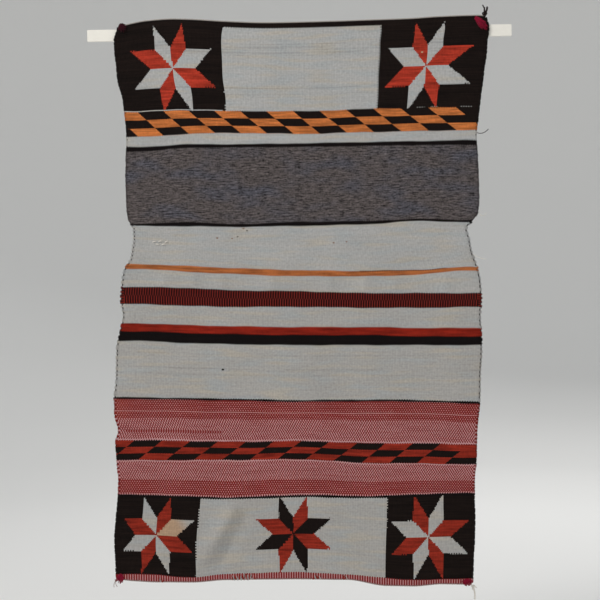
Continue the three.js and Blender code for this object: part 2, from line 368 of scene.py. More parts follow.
def swell(x, z):
    """How far the cloth's middle stands out past its place on the slat."""
    out = np.zeros(np.broadcast(x, z).shape)
    for row in SWELLS:
        away = ((x - row.x) / row.reach_x) ** 2 + ((z - row.z) / row.reach_z) ** 2
        out = out + row.out * np.exp(-away)
    for row in FOLDS:
        length = math.hypot(row.x1 - row.x0, row.z1 - row.z0)
        way_x, way_z = (row.x1 - row.x0) / length, (row.z1 - row.z0) / length
        reached = np.clip((x - row.x0) * way_x + (z - row.z0) * way_z, 0, length)
        away = np.hypot(x - row.x0 - reached * way_x, z - row.z0 - reached * way_z)
        out = out + row.out * np.exp(-((away / row.half_width) ** 2))
    for wave in WAVES:
        out = out + wave["out"] * np.sin(wave["across"] * x + wave["up"] * z + wave["turn"])
    share = np.clip((z - LOOSE_BELOW) / (FLAT_ABOVE - LOOSE_BELOW), 0, 1)
    return out * (1 - share * share * (3 - 2 * share))


def line_height(index, x):
    """Height of one weft line, where the first is the top edge and the last the bottom edge."""
    if index == 0:
        return smooth(column(TOP_EDGE, "x"), column(TOP_EDGE, "z"), x) - INSET
    if index == len(LINE_DOWNS) - 1:
        return smooth(column(BOTTOM_EDGE, "x"), column(BOTTOM_EDGE, "z"), x) + INSET
    height = smooth(STATIONS, LINES[index - 1].heights, x)
    for row in HAND:
        height = height + row.size * np.sin(x / row.length + index * row.turn)
    return height


def cloth_height(x, down):
    x, down = np.broadcast_arrays(x, down)
    levels = np.stack([line_height(index, x) for index in range(len(LINE_DOWNS))])
    row = np.clip(np.searchsorted(LINE_DOWNS, down, side="right") - 1, 0, len(LINE_DOWNS) - 2)
    share = (down - LINE_DOWNS[row]) / (LINE_DOWNS[row + 1] - LINE_DOWNS[row])
    above = np.take_along_axis(levels, row[None], 0)[0]
    below = np.take_along_axis(levels, row[None] + 1, 0)[0]
    return above + share * (below - above)


def side_at(side, z):
    inward = INSET if side == "left" else -INSET
    return smooth(column(SIDES, "z"), column(SIDES, side), z) + inward


def cloth_middle(across, down):
    """The cloth's middle at shares across and woven distances down, in any matching arrays."""
    left = side_at("left", cloth_height(SIDES[0].left, down))
    right = side_at("right", cloth_height(SIDES[0].right, down))
    x = left + across * (right - left)
    z = cloth_height(x, down)
    return np.stack(np.broadcast_arrays(x, MIDDLE - swell(x, z), z), axis=-1)


def woven_place(x, z):
    """Woven distances across and down of a point that is given by where it hangs."""
    levels = np.array([line_height(index, np.float64(x)) for index in range(len(LINE_DOWNS))])
    down = float(np.interp(-z, -levels, LINE_DOWNS))
    left, right = float(side_at("left", z)), float(side_at("right", z))
    return ((x - left) / (right - left) - 0.5) * WOVEN_WIDTH, down


def front_y(x, z):
    return MIDDLE - float(swell(np.float64(x), np.float64(z))) - THICKNESS / 2


class Shape:
    """Points and faces that are gathered into one mesh, with a place on the finish per corner."""

    def __init__(self):
        self.points = []
        self.faces = []
        self.places = []
        self.count = 0

    def add(self, points, faces, places):
        self.points.append(points)
        self.faces.append(np.asarray(faces) + self.count)
        self.places.append(places)
        self.count += len(points)

    def piece(self, name, material, map_name):
        points = np.concatenate(self.points) * MM
        faces = np.concatenate(self.faces)
        mesh = bpy.data.meshes.new(name)
        mesh.from_pydata(points.tolist(), [], faces.tolist())
        places = np.concatenate(self.places).reshape(-1, 2)
        layer = mesh.uv_layers.new(name=map_name)
        layer.data.foreach_set("uv", places.astype(np.float32).ravel())
        if map_name == "Weave":
            hung = points[faces][..., [0, 2]] * (1, -1)
            layer = mesh.uv_layers.new(name="Hung")
            layer.data.foreach_set("uv", hung.astype(np.float32).ravel())
        mesh.polygons.foreach_set("use_smooth", [True] * len(mesh.polygons))
        mesh.materials.append(material)
        mesh.update()
        piece = bpy.data.objects.new(name, mesh)
        bpy.context.scene.collection.objects.link(piece)
        return piece


def unit(vectors):
    return vectors / np.linalg.norm(vectors, axis=-1, keepdims=True)


def even_steps(path, step):
    """The same path with its points an even step apart."""
    path = np.asarray(path, float)
    reached = np.concatenate([[0], np.cumsum(np.linalg.norm(np.diff(path, axis=0), axis=1))])
    count = max(2, math.ceil(reached[-1] / step) + 1)
    at = np.linspace(0, reached[-1], count)
    return np.stack([np.interp(at, reached, path[:, axis]) for axis in range(3)], axis=1)


def frames_along(path, facing):
    """Directions along a path and square to it, carried on from point to point without twist."""
    along = unit(np.gradient(path, axis=0))
    normals = np.zeros_like(path)
    normal = np.asarray(facing, float)
    for i, way in enumerate(along):
        normal = normal - way * normal.dot(way)
        normal = normal / np.linalg.norm(normal)
        normals[i] = normal
    return along, normals, np.cross(along, normals)


CAP_PLACE = ((0.5, 0), (0.6, 0), (0.6, 0.001), (0.5, 0.001))  # where a strand's cut ends lie on its finish


def tube(path, wide, sides, facing):
    """A closed strand: wide is its radius, one for each point, or a pair along facing and across."""
    path = np.asarray(path, float)
    steps = len(path)
    if isinstance(wide, tuple):
        radii = np.tile(np.array(wide, float), (steps, 1))
    else:
        radii = np.repeat(np.broadcast_to(np.asarray(wide, float), (steps,))[:, None], 2, axis=1)
    _, normals, binormals = frames_along(path, facing)
    turn = np.arange(sides) * math.tau / sides
    ring = normals[:, None] * np.cos(turn)[None, :, None] * radii[:, None, :1]
    ring = ring + binormals[:, None] * np.sin(turn)[None, :, None] * radii[:, None, 1:]
    points = (path[:, None] + ring).reshape(-1, 3)
    step, side = np.meshgrid(np.arange(steps - 1), np.arange(sides), indexing="ij")
    after = (side + 1) % sides
    walls = [step * sides + side, step * sides + after]
    walls += [(step + 1) * sides + after, (step + 1) * sides + side]
    faces = np.stack(walls, axis=-1).reshape(-1, 4)
    reached = np.concatenate([[0], np.cumsum(np.linalg.norm(np.diff(path, axis=0), axis=1))]) * MM
    around = side / sides
    corners = [(around, reached[step]), (around + 1 / sides, reached[step])]
    corners += [(around + 1 / sides, reached[step + 1]), (around, reached[step + 1])]
    places = np.stack([np.stack(corner, axis=-1) for corner in corners], axis=-2).reshape(-1, 4, 2)
    first, last = 0, (steps - 1) * sides
    caps = [[first, first + i + 2, first + i + 1, first + i] for i in range(1, sides - 2, 2)]
    caps += [[last, last + i, last + i + 1, last + i + 2] for i in range(1, sides - 2, 2)]
    ends = np.tile(CAP_PLACE, (len(caps), 1, 1))
    return points, np.concatenate([faces, caps]), np.concatenate([places, ends])


PLY = {"radius": 0.3, "aside": 0.24, "end": 0.5}  # a strand, in widths of its cord, and its thin end
PLY_STEPS = 8  # in one twist


def add_two_ply(shape, path, width, pitch, sides=6, facing=(0, 1, 0)):
    """Two strands that twist round each other along a path."""
    path = even_steps(path, pitch / PLY_STEPS)
    _, normals, binormals = frames_along(path, facing)
    reached = np.arange(len(path)) * np.linalg.norm(path[1] - path[0])
    for strand in range(2):
        angle = reached / pitch * math.tau + strand * math.pi
        aside = normals * np.cos(angle)[:, None] + binormals * np.sin(angle)[:, None]
        radius = np.full(len(path), width * PLY["radius"])
        radius[[0, -1]] *= PLY["end"]
        shape.add(*tube(path + aside * width * PLY["aside"], radius, sides, facing))


# The cloth itself: one closed web whose edges round off
COLUMN = 4.55
ROW = 4.7
EDGE_STEPS = (0.0, 0.5, 1.3, 2.4)  # distances from an edge, up to where it is full thickness


def woven_steps(marks, size):
    """Even steps of about a size from mark to mark, with close steps at both ends."""
    start, end = marks[0], marks[-1]
    inner = [start + EDGE_STEPS[-1], *marks[1:-1], end - EDGE_STEPS[-1]]
    steps = [start + step for step in EDGE_STEPS[:-1]]
    for low, high in zip(inner, inner[1:]):
        steps.extend(np.linspace(low, high, max(1, round((high - low) / size)), endpoint=False))
    steps.append(inner[-1])
    steps.extend(end - step for step in reversed(EDGE_STEPS[:-1]))
    return np.array(steps)


def blanket_web(material):
    across = woven_steps([0.0, WOVEN_WIDTH], COLUMN)
    down = woven_steps(list(LINE_DOWNS), ROW)
    middle = cloth_middle(across[None, :] / WOVEN_WIDTH, down[:, None])
    from_side = np.minimum(across, WOVEN_WIDTH - across)[None, :]
    from_end = np.minimum(down, WOVEN_LENGTH - down)[:, None]
    inside = np.clip(np.minimum(from_side, from_end) / EDGE_STEPS[-1], 0, 1)
    half = THICKNESS / 2 * np.sqrt(1 - (1 - inside) ** 2)
    front, back = middle.copy(), middle.copy()
    front[..., 1] -= half
    back[..., 1] += half
    rows, columns = half.shape
    number = np.arange(rows * columns).reshape(rows, columns)
    back_number = number.copy()
    inner = np.arange((rows - 2) * (columns - 2)).reshape(rows - 2, columns - 2)
    back_number[1:-1, 1:-1] = rows * columns + inner
    shape = Shape()
    points = np.concatenate([front.reshape(-1, 3), back[1:-1, 1:-1].reshape(-1, 3)])
    woven = np.stack(np.broadcast_arrays(across[None, :] - WOVEN_WIDTH / 2, down[:, None]), axis=-1)
    corners = [(0, 0), (1, 0), (1, 1), (0, 1)]

    def cells(grid, order):
        parts = [grid[r : r + rows - 1, c : c + columns - 1] for r, c in order]
        return np.stack(parts, axis=2).reshape(-1, 4, *grid.shape[2:])

    faces = [cells(number, corners), cells(back_number, corners[::-1])]
    places = [cells(woven * MM, corners), cells(woven * MM, corners[::-1])]
    shape.add(points, np.concatenate(faces), np.concatenate(places))
    return shape.piece("blanket_web", material, "Weave")


def edge_places(side, downs):
    """Points along one side of the cloth, and the ways down it and out from it."""
    share = 0.0 if side == "left" else 1.0
    points = cloth_middle(share, downs)
    along = unit(np.gradient(points, axis=0))
    sign = -1 if side == "left" else 1
    outward = unit(np.stack([-along[:, 2], np.zeros(len(along)), along[:, 0]], axis=1)) * sign
    return points, along, outward


CORD_OUT = {"side": 1.0, "end": 0.9}  # how far the edge cords' middles lie past the cloth

# Weft turns: bundles of picks that wrap round the side cord, which shows between the bundles
TURN = {
    "pitch": 2.0,
    "half_width": 1.08,
    "half_thick": 0.6,
    "reach": 1.75,
    "root": 3.0,
    "full": 0.9,
    "tuck": 0.5,
    "inside_edge": 1.0,
}
TURN_CHANCES = {"shift": 0.2, "width": (0.85, 1.1), "bulge": (0.95, 1.07), "bundle": 0.3}
TURNS_FROM_END = (2.5, 2.0)  # how far the first and the last turn lie from the cloth's ends
FIRST_BUNDLE = {"turns": 4, "out": 1.1}  # at the top of each side
EDGE_STRETCHES = table(  # turns in a bundle at most, turns left out after it, how far it may bulge
    "side high low longest bare out",
    ("left", -404, -600, 4, 2, 1.75),
    ("left", -600, -790, 5, 2, 1.6),
    ("right", -400, -600, 4, 2, 1.75),
    ("right", -600, -790, 5, 2, 1.5),
    ("left", 100, -1300, 7, 1, 1.25),
    ("right", 100, -1300, 7, 1, 1.25),
)


def edge_stretch(side, z):
    return next(row for row in EDGE_STRETCHES if row.side == side and row.low < z < row.high)


def weft_turns(material):
    chance = random.Random(11)
    shape = Shape()
    centre = CORD_OUT["side"]
    bend = np.linspace(-math.pi / 2, math.pi / 2, 6)
    reach, root, full, tuck = (TURN[part] for part in ("reach", "root", "full", "tuck"))
    profile = [(-root, -reach + tuck), (-full, -reach)]
    profile += [(centre + reach * math.cos(a), reach * math.sin(a)) for a in bend]
    profile += [(-full, reach), (-root, reach - tuck)]
    profile = np.array(profile)
    first, last = TURNS_FROM_END
    for side in ("left", "right"):
        edge = (WOVEN_WIDTH / 2 - TURN["inside_edge"]) * (-1 if side == "left" else 1)
        downs = np.arange(first, WOVEN_LENGTH - last, TURN["pitch"])
        points, along, outward = edge_places(side, downs)
        left_in_bundle = FIRST_BUNDLE["turns"]
        bundle_out = FIRST_BUNDLE["out"]
        for down, point, way, out in zip(downs, points, along, outward):
            if left_in_bundle <= 0:
                left_in_bundle -= 1
                stretch = edge_stretch(side, point[2])
                if -left_in_bundle >= stretch.bare:
                    left_in_bundle = chance.randint(stretch.longest // 2, stretch.longest)
                    bundle_out = chance.uniform(stretch.out - TURN_CHANCES["bundle"], stretch.out)
                continue
            left_in_bundle -= 1
            shift = chance.uniform(-TURN_CHANCES["shift"], TURN_CHANCES["shift"])
            half_width = TURN["half_width"] * chance.uniform(*TURN_CHANCES["width"])
            bulge = bundle_out * chance.uniform(*TURN_CHANCES["bulge"])
            outwards = profile[:, :1] * out * np.where(profile[:, :1] > centre, bulge, 1)
            path = point + way * shift + outwards
            path[:, 1] += profile[:, 1]
            ring, faces, _ = tube(path, (half_width, TURN["half_thick"]), 6, way)
            off = (ring - point).dot(way)
            woven = np.stack([np.full(len(off), edge), down + off], axis=1)
            shape.add(ring, faces, woven[faces] * MM)
    return shape.piece("weft_turns", material, "Weave")


# Edge cords
TWIST = {"end": 7.5, "side": 9.0}
CORD_STEP = 4.0


def side_cord(name, side, material):
    downs = np.arange(-CORD_STEP / 2, WOVEN_LENGTH + CORD_STEP / 2, CORD_STEP)
    points, _, outward = edge_places(side, np.clip(downs, 0, WOVEN_LENGTH))
    points = points + outward * CORD_OUT["side"]
    shape = Shape()
    add_two_ply(shape, points[1:-1], SIDE_CORD, TWIST["side"])
    return shape.piece(name, material, "Yarn")


def end_cord(name, down, sign, material):
    across = np.linspace(0, 1, 200)
    points = cloth_middle(across, np.full(len(across), down))
    points[:, 2] += sign * CORD_OUT["end"]
    shape = Shape()
    add_two_ply(shape, points, END_CORD, TWIST["end"], facing=(0, 0, 1))
    return shape.piece(name, material, "Yarn")


# Tassels: a full tuft of yarns that start together and bow over a rounded middle
TASSELS = table(
    "name x z middle_x middle_z half_long half_wide turn yarn",
    ("top_left", -384, 15, -380.5, 9.5, 10.5, 9.2, 75, "maroon"),
    ("top_right", 380, 31, 394, 17.5, 15.5, 8.2, -50, "crimson"),
    ("bottom_left", -385, -1167, -385.5, -1174.8, 10.6, 8.9, 85, "crimson"),
    ("bottom_right", 358, -1178, 360.5, -1181.5, 12.8, 7.9, 4, "crimson"),
)
TASSEL = {"yarns": 74, "yarn": 0.72, "spread": 4.6, "depth": 5.0, "off": 0.8, "bow": 0.55, "dome": 1.1}
TASSEL_CHANCES = {
    "tip": (0.35, 1.04),
    "bow_turn": (-1.4, 1.4),
    "bow_share": (0.2, 0.9),
    "layer": (0.1, 1.0),
    "thick": (0.8, 1.15),
}
TIP_THINS = {"from": 0.95, "to": 0.6}  # a yarn's last step, and how thick its end is


def tassel(row, material):
    chance = random.Random(row.name)
    shape = Shape()
    lean = math.radians(row.turn)
    middle = np.array([row.middle_x, row.middle_z])
    long_way = np.array([math.cos(lean), math.sin(lean)])
    wide_way = np.array([-math.sin(lean), math.cos(lean)])

    def spot(angle, far, half_long, half_wide):
        aside = long_way * math.cos(angle) * half_long + wide_way * math.sin(angle) * half_wide
        return aside * far

    share = np.linspace(0, 1, 11)[:, None]
    for _ in range(TASSEL["yarns"]):
        spread = TASSEL["spread"]
        start = spot(chance.uniform(0, math.tau), math.sqrt(chance.random()), spread, spread)
        start = start + (row.x, row.z)
        angle = chance.uniform(0, math.tau)
        far = chance.uniform(*TASSEL_CHANCES["tip"])
        tip = middle + spot(angle, far, row.half_long, row.half_wide)
        bow_angle = angle + chance.uniform(*TASSEL_CHANCES["bow_turn"])
        bow = spot(bow_angle, TASSEL["bow"], row.half_long, row.half_wide)
        bend = (start + tip) / 2 + bow * chance.uniform(*TASSEL_CHANCES["bow_share"])
        flat = start * (1 - share) ** 2 + bend * 2 * share * (1 - share) + tip * share**2
        from_middle = flat - middle
        beyond = (from_middle.dot(long_way) / row.half_long) ** 2
        beyond = beyond + (from_middle.dot(wide_way) / row.half_wide) ** 2
        dome = np.sqrt(np.clip(TASSEL["dome"] - beyond, 0.02, 1))
        layer = chance.uniform(*TASSEL_CHANCES["layer"]) * TASSEL["depth"]
        front = MIDDLE - swell(flat[:, 0], flat[:, 1]) - THICKNESS / 2
        path = np.stack([flat[:, 0], front - TASSEL["off"] - layer * dome, flat[:, 1]], axis=1)
        thins = np.where(share[:, 0] > TIP_THINS["from"], TIP_THINS["to"], 1)
        radius = TASSEL["yarn"] * thins * chance.uniform(*TASSEL_CHANCES["thick"])
        shape.add(*tube(path, radius, 5, (0, 1, 0)))
    return shape.piece("tassel_yarns_" + row.name, material, "Yarn")


# Knots just off the corners with the ends of the edge cords. Each end has how far it runs across
# and up, how far it bows aside and how thick it is.
KNOTS = table(
    "name node side down dx dz size ends yarn",
    (
        "knotted_ends_top_right", "cord_ends_top_right", "right", 0.0, -1.4, 5.4, 1.6,
        ((-4.5, 20, 2, 2.6), (0.5, 15, -1.5, 2.4), (5.5, 16, 1.5, 3.8)), "dark cord",
    ),
    (
        "knotted_thread_bottom_right", "thread_bottom_right", "right", WOVEN_LENGTH, 2.6, -6.0, 1.2,
        ((3.6, -28, 1.6, 3.2), (7, -3, 2.5, 2.2), (-2, -7, 2, 2.2)), "thread white",
    ),
    (
        "knotted_thread_bottom_left", "thread_bottom_left", "left", WOVEN_LENGTH, -3.1, -3.6, 0.78,
        ((-4, -15, -2, 1.1), (3, -14, -2, 1.0)), "thread pink",
    ),
)
KNOT_YARN = 0.92  # how thick the knotted cord is for its knot's size
KNOT_END = {"wide": 1.15, "pitch": 4.2, "wave": 0.8, "waves": 5}


def knotted_ends(row, material):
    """A trefoil knot in a cord, and the ends that come out of it."""
    shape = Shape()
    corner = cloth_middle(0.0 if row.side == "left" else 1.0, np.float64(row.down))
    centre = corner + np.array([row.dx, 0, row.dz])
    turn = np.linspace(0, math.tau, 37)
    knot_x = np.sin(turn) + 2 * np.sin(2 * turn)
    knot_y = -1.1 * np.sin(3 * turn)
    knot_z = np.cos(turn) - 2 * np.cos(2 * turn)
    knot = np.stack([knot_x, knot_y, knot_z], axis=1)
    shape.add(*tube(centre + knot * row.size, row.size * KNOT_YARN, 6, (0.3, 1, 0.2)))
    share = np.linspace(0, 1, 16)
    out = -KNOT_END["wave"] * np.sin(share * KNOT_END["waves"])
    for dx, dz, bow, thick in row.ends:
        path = np.stack([dx * share + bow * np.sin(share * math.pi), out, dz * share], axis=1)
        add_two_ply(shape, centre + path, thick * KNOT_END["wide"], KNOT_END["pitch"], 5)
    return shape.piece(row.name, material, "Yarn")


# Weft ends that stand out of the right edge, with where each bends and ends, across and up
LOOSE_ENDS = table(
    "name node z bend tip thick yarn",
    ("loose_weft_dark", "loose_end_dark", -215, (13, -5), (24, 8), 1.7, "brown"),
    ("loose_weft_white_upper", "loose_end_white_upper", -386, (9, -15), (17, -1), 1.7, "thread white"),
    ("loose_weft_white_lower", "loose_end_white_lower", -476, (14, -10), (28, -11), 1.7, "thread white"),
)
LOOSE_END = {"from_edge": GAP + SIDE_CORD * 0.8, "longer": 1.0, "pitch": 4.0, "wave": 0.7, "waves": 9}


def loose_weft(row, material):
    edge = np.array([float(side_at("right", row.z)), 0, row.z])
    edge[1] = MIDDLE - float(swell(edge[0], edge[2]))
    start = edge + np.array([LOOSE_END["from_edge"], 0, 0])
    bend = start + np.array([row.bend[0] + LOOSE_END["longer"], 0, row.bend[1]])
    tip = start + np.array([row.tip[0] + LOOSE_END["longer"], 0, row.tip[1]])
    share = np.linspace(0, 1, 30)[:, None]
    path = start * (1 - share) ** 2 + bend * 2 * share * (1 - share) + tip * share**2
    path[:, 1] += -LOOSE_END["wave"] * np.sin(share[:, 0] * LOOSE_END["waves"])
    shape = Shape()
    add_two_ply(shape, path, row.thick, LOOSE_END["pitch"], 5)
    return shape.piece(row.name, material, "Yarn")


# Weft that has worked loose over the bottom border: from where, how many loops and how big
LOOSENED = table(
    "x loops size",
    (-147, 13, 1.0),
    (-303, 3, 0.7),
    (29, 4, 0.75),
    (95, 2, 0.6),
)
BORDER_LOOPS = table(
    "name parity yarn",
    ("border_loops_red", 0, "deep red"),
    ("border_loops_pale", 1, "low white"),
)
LOOP_STEP = 4.0
LOOP = {"yarn": 0.85, "along": 2.4, "sunk": 0.4, "end_rise": 2.0, "hook": 1.5}
LOOP_CHANCES = {"shift": (-1, 1), "lean": (-4, 4), "drop": (3.5, 6.5), "rise": (6, 13), "out": (1.4, 3.0)}


def border_loops(name, parity, material):
    """Every other loop, so that two calls give both colours."""
    chance = random.Random(parity)
    shape = Shape()
    share = np.linspace(0, 1, 13)
    arch = np.sin(share * math.pi)
    for row in LOOSENED:
        for index in range(parity, row.loops, 2):
            x = row.x + index * LOOP_STEP + chance.uniform(*LOOP_CHANCES["shift"])
            z = float(cloth_height(np.float64(x), np.float64(WOVEN_LENGTH)))
            lean, drop, rise, out = (
                chance.uniform(*LOOP_CHANCES[part]) * row.size for part in ("lean", "drop", "rise", "out")
            )
            path_x = x + lean * arch + share * LOOP["along"]
            path_y = front_y(x, z) + LOOP["sunk"] - out * arch
            path_z = z + rise * (1 - share) ** LOOP["hook"] - drop * arch + LOOP["end_rise"] * share
            path = np.stack([path_x, path_y, path_z], axis=1)
            shape.add(*tube(path, LOOP["yarn"], 6, (1, 0, 0)))
    return shape.piece(name, material, "Yarn")


SLUBS = table(  # short arcs of thick spun white that stand up from the cloth
    "x z long rise",
    (-312, -450, 7.5, 1.4),
    (-305, -456, 6.0, -1.8),
    (-299, -449, 7.0, 1.2),
    (-292, -456, 8.0, 0.8),
    (-286, -450, 5.5, 2.4),
)
SLUB = {"yarn": 1.15, "bow": 0.8, "out": 2.6, "sunk": 0.5}


def white_slubs(material):
    shape = Shape()
    share = np.linspace(0, 1, 11)
    for row in SLUBS:
        x = row.x + (share - 0.5) * row.long
        z = row.z + (share - 0.5) * row.rise + SLUB["bow"] * np.sin(share * math.pi)
        y = front_y(row.x, row.z) + SLUB["sunk"] - SLUB["out"] * np.sin(share * math.pi)
        shape.add(*tube(np.stack([x, y, z], axis=1), SLUB["yarn"], 8, (0, 0, 1)))
    return shape.piece("white_slubs", material, "Yarn")


# Colour and finish
def linear(name):
    """A yarn's colour in linear light."""
    shares = [value / 255 for value in YARNS[name]]
    light = [s / 12.92 if s <= 0.04045 else ((s + 0.055) / 1.055) ** 2.4 for s in shares]
    return (*light, 1.0)


def connect(tree, socket, value):
    if isinstance(value, Field):
        tree.links.new(value.socket, socket)
    elif isinstance(value, bpy.types.NodeSocket):
        tree.links.new(value, socket)
    else:
        socket.default_value = value


class Field:
    """A number that changes over a surface. Sums and comparisons of fields add Math nodes."""

    def __init__(self, tree, socket):
        self.tree = tree
        self.socket = socket

    def made(self, operation, *others):
        node = self.tree.nodes.new("ShaderNodeMath")
        node.operation = operation
        for socket, value in zip(node.inputs, (self, *others)):
            connect(self.tree, socket, value)
        return Field(self.tree, node.outputs[0])

    def __add__(self, other):
        return self.made("ADD", other)

    def __sub__(self, other):
        return self.made("SUBTRACT", other)

    def __mul__(self, other):
        return self.made("MULTIPLY", other)

    def __truediv__(self, other):
        return self.made("DIVIDE", other)

    def __gt__(self, other):
        return self.made("GREATER_THAN", other)

    def __lt__(self, other):
        return self.made("LESS_THAN", other)

    def __pow__(self, other):
        return self.made("POWER", other)

    def whole(self):
        return self.made("FLOOR")

    def part(self):
        return self.made("FRACT")

    def size(self):
        return self.made("ABSOLUTE")

    def least(self, other):
        return self.made("MINIMUM", other)

    def most(self, other):
        return self.made("MAXIMUM", other)

    def sine(self):
        return self.made("SINE")

    def turned(self):
        return self * -1 + 1

    def odd(self):
        return (self.whole() * 0.5).part() > 0.25

    def unlike(self, other):
        return (self - other).size()

    def within(self, low, high):
        return (self > low) * (self < high)

    def eased(self, low, high):
        """From 0 at low to 1 at high, with a soft start and end."""
        node = self.tree.nodes.new("ShaderNodeMapRange")
        node.interpolation_type = "SMOOTHSTEP"
        connect(self.tree, node.inputs["Value"], self)
        node.inputs["From Min"].default_value = low
        node.inputs["From Max"].default_value = high
        return Field(self.tree, node.outputs["Result"])


def over(tree, under, mask, colour):
    """A colour laid over another where the mask is 1."""
    node = tree.nodes.new("ShaderNodeMix")
    node.data_type = "RGBA"
    connect(tree, node.inputs[0], mask)
    connect(tree, node.inputs[6], under)
    connect(tree, node.inputs[7], colour)
    return node.outputs[2]


def toned(tree, colour, tone):
    """A colour made lighter or darker."""
    node = tree.nodes.new("ShaderNodeVectorMath")
    node.operation = "SCALE"
    connect(tree, node.inputs[0], colour[:3] if isinstance(colour, tuple) else colour)
    connect(tree, node.inputs["Scale"], tone)
    return node.outputs[0]


def noise(tree, across, down, layer, detail=2.0):
    """Soft noise about 0, within half a unit of it."""
    place = tree.nodes.new("ShaderNodeCombineXYZ")
    connect(tree, place.inputs[0], across)
    connect(tree, place.inputs[1], down)
    place.inputs[2].default_value = layer
    node = tree.nodes.new("ShaderNodeTexNoise")
    node.inputs["Scale"].default_value = 1.0
    node.inputs["Detail"].default_value = detail
    tree.links.new(place.outputs[0], node.inputs["Vector"])
    return Field(tree, node.outputs[0]) - 0.5


def surface_places(tree, map_name, scale):
    """The two coordinates of a piece's own map, times a scale."""
    node = tree.nodes.new("ShaderNodeUVMap")
    node.uv_map = map_name
    parts = tree.nodes.new("ShaderNodeSeparateXYZ")
    tree.links.new(node.outputs[0], parts.inputs[0])
    return [Field(tree, parts.outputs[axis]) * scale[axis] for axis in range(2)]


class Group:
    """A shader group: fields for its inputs, and a way to finish each output."""

    def __init__(self, name, inputs, outputs):
        self.tree = bpy.data.node_groups.new(name, "ShaderNodeTree")
        for label in inputs:
            self.tree.interface.new_socket(name=label, in_out="INPUT", socket_type="NodeSocketFloat")
        for label in outputs:
            self.tree.interface.new_socket(name=label, in_out="OUTPUT", socket_type="NodeSocketFloat")
        entry = self.tree.nodes.new("NodeGroupInput")
        self.end = self.tree.nodes.new("NodeGroupOutput")
        self.fields = [Field(self.tree, entry.outputs[label]) for label in inputs]

    def give(self, **values):
        for label, value in values.items():
            connect(self.tree, self.end.inputs[label.replace("_", " ")], value)

    def placed(self, tree, **values):
        """The group set into a material, with the fields that its outputs give there."""
        node = tree.nodes.new("ShaderNodeGroup")
        node.node_tree = self.tree
        for label, value in values.items():
            connect(tree, node.inputs[label.replace("_", " ")], value)
        return {socket.name: Field(tree, socket) for socket in node.outputs}


FACE = {"rounding": 0.7, "bead": 0.35, "bare": 0.45, "high": 0.8}  # the relief of ribs and beads
# painted shade: darker in the grooves between warp ribs and between weft beads, and on every other warp
FACE_GROOVE_SHADE = {"rib": 0.34, "bead": 0.08, "least": 0.705, "odd": 0.05}
FACE_NOISES = table(  # patches that make the face uneven, and what each adds to height and tone
    "name long high layer detail height tone",
    ("beating", 8, 6, 1.0, 2.0, 0.55, 0.0),
    ("streak", 30, 1.6, 2.0, 2.0, 0.3, 0.2),
    ("grain", 1.4, 0.9, 3.0, 1.0, 0.12, 0.12),
    ("lump", 5.2, 4.2, 4.0, 0.0, 0.0, 0.3),
)


def woven_surface_group():
    """Weft beads in columns over the warps, uneven picks, and their tone: painted shade in the grooves
    between ribs and between beads, a little painted shade on every other warp, and uneven patches.
    """
    group = Group("Weft faced weave", ("Across", "Down", "Warp", "Pick"), ("Height", "Tone"))
    across, down, warp, pick = group.fields
    number = across / warp
    rib = (number * math.pi).sine().size()
    bead = ((down / pick + number.odd() * 0.5) * math.pi).sine().size()
    height = rib ** FACE["rounding"] * (bead * FACE["bead"] + FACE["bare"]) * FACE["high"]
    # painted shade in the grooves between ribs and between beads, and on every other warp
    tone = rib * FACE_GROOVE_SHADE["rib"] + bead * FACE_GROOVE_SHADE["bead"] + FACE_GROOVE_SHADE["least"]
    tone = tone + number.odd() * FACE_GROOVE_SHADE["odd"]
    for row in FACE_NOISES:
        patch = noise(group.tree, across / row.long, down / row.high, row.layer, row.detail)
        height = height + patch * row.height
        tone = tone + patch * row.tone
    group.give(Height=height, Tone=tone)
    return group


def star_group():
    """An eight-point star of eight split rays, from where a point lies from its centre."""
    inputs = ["Across", "Down", "Corner across", "Corner down", "Level tip", "Upright tip"]
    inputs += ["Longer", "Deeper", "Lean", "Sinks", "Rises", "Turned"]
    group = Group("Eight point star", inputs, ("Inside", "Light ray", "Level right ray"))
    across, down, corner_across, corner_down, level_tip, upright_tip = group.fields[:6]
    longer, deeper, lean, sinks, rises, turned = group.fields[6:]
    x = (across - down * lean) * turned / corner_across
    y = (down + across.least(0) * sinks + across.most(0) * rises) / corner_down
    aside, off = x.size(), y.size()
    level = aside > off
    level_out = (level_tip + longer * ((across > 0) * 2 - 1)) / corner_across
    upright_out = (upright_tip + deeper * (down > 0)) / corner_down
    level_edge = off * (level_out - STAR["level_notch"]) + STAR["level_notch"]
    rise = (upright_out - STAR["upright_notch"]) / STAR["tip_aside"]
    upright_edge = aside * rise + STAR["upright_notch"]
    flank = (off - 1) * (STAR["tip_aside"] - 1) / (upright_out - 1) + 1
    in_level = level * (aside < level_edge) * (off < 1)
    in_upright = level.turned() * (off < upright_edge) * (aside < flank.least(1))
    group.give(Inside=in_level.most(in_upright))
    group.give(Light_ray=(x * y > 0).unlike(level))
    group.give(Level_right_ray=level * (x > 0) * (y < 0))
    return group


def checks_group():
    """Rows of leaning checks."""
    group = Group("Leaning checks", ("Across", "Down", "Pitch", "Row", "Slant"), ("Dark",))
    across, down, pitch, row, slant = group.fields
    column_number = ((across - down * slant) / pitch).whole()
    group.give(Dark=(column_number + (down / row).whole()).odd())
    return group


def twill_group():
    """Fine twill lines that slant both ways and cross in points, and how far each comes up light."""
    group = Group("Diamond twill", ("Across", "Down", "Pair", "Rise", "Share"), ("Light",))
    across, down, pair, rise, share = group.fields
    step, lift = across / pair, down / rise
    rising = ((step + lift) * math.tau).sine()
    falling = ((step - lift) * math.tau).sine()
    place = (across / DIAMOND["long"], down / DIAMOND["high"], DIAMOND["layer"])
    turn = noise(group.tree, *place) * DIAMOND["turning"]
    height = rising * (turn + 1) + falling * turn.turned()
    lift_to_light = (share - 0.5) * DIAMOND["spread"]
    group.give(Light=(height + lift_to_light).eased(-DIAMOND["soft"], DIAMOND["soft"]))
    return group


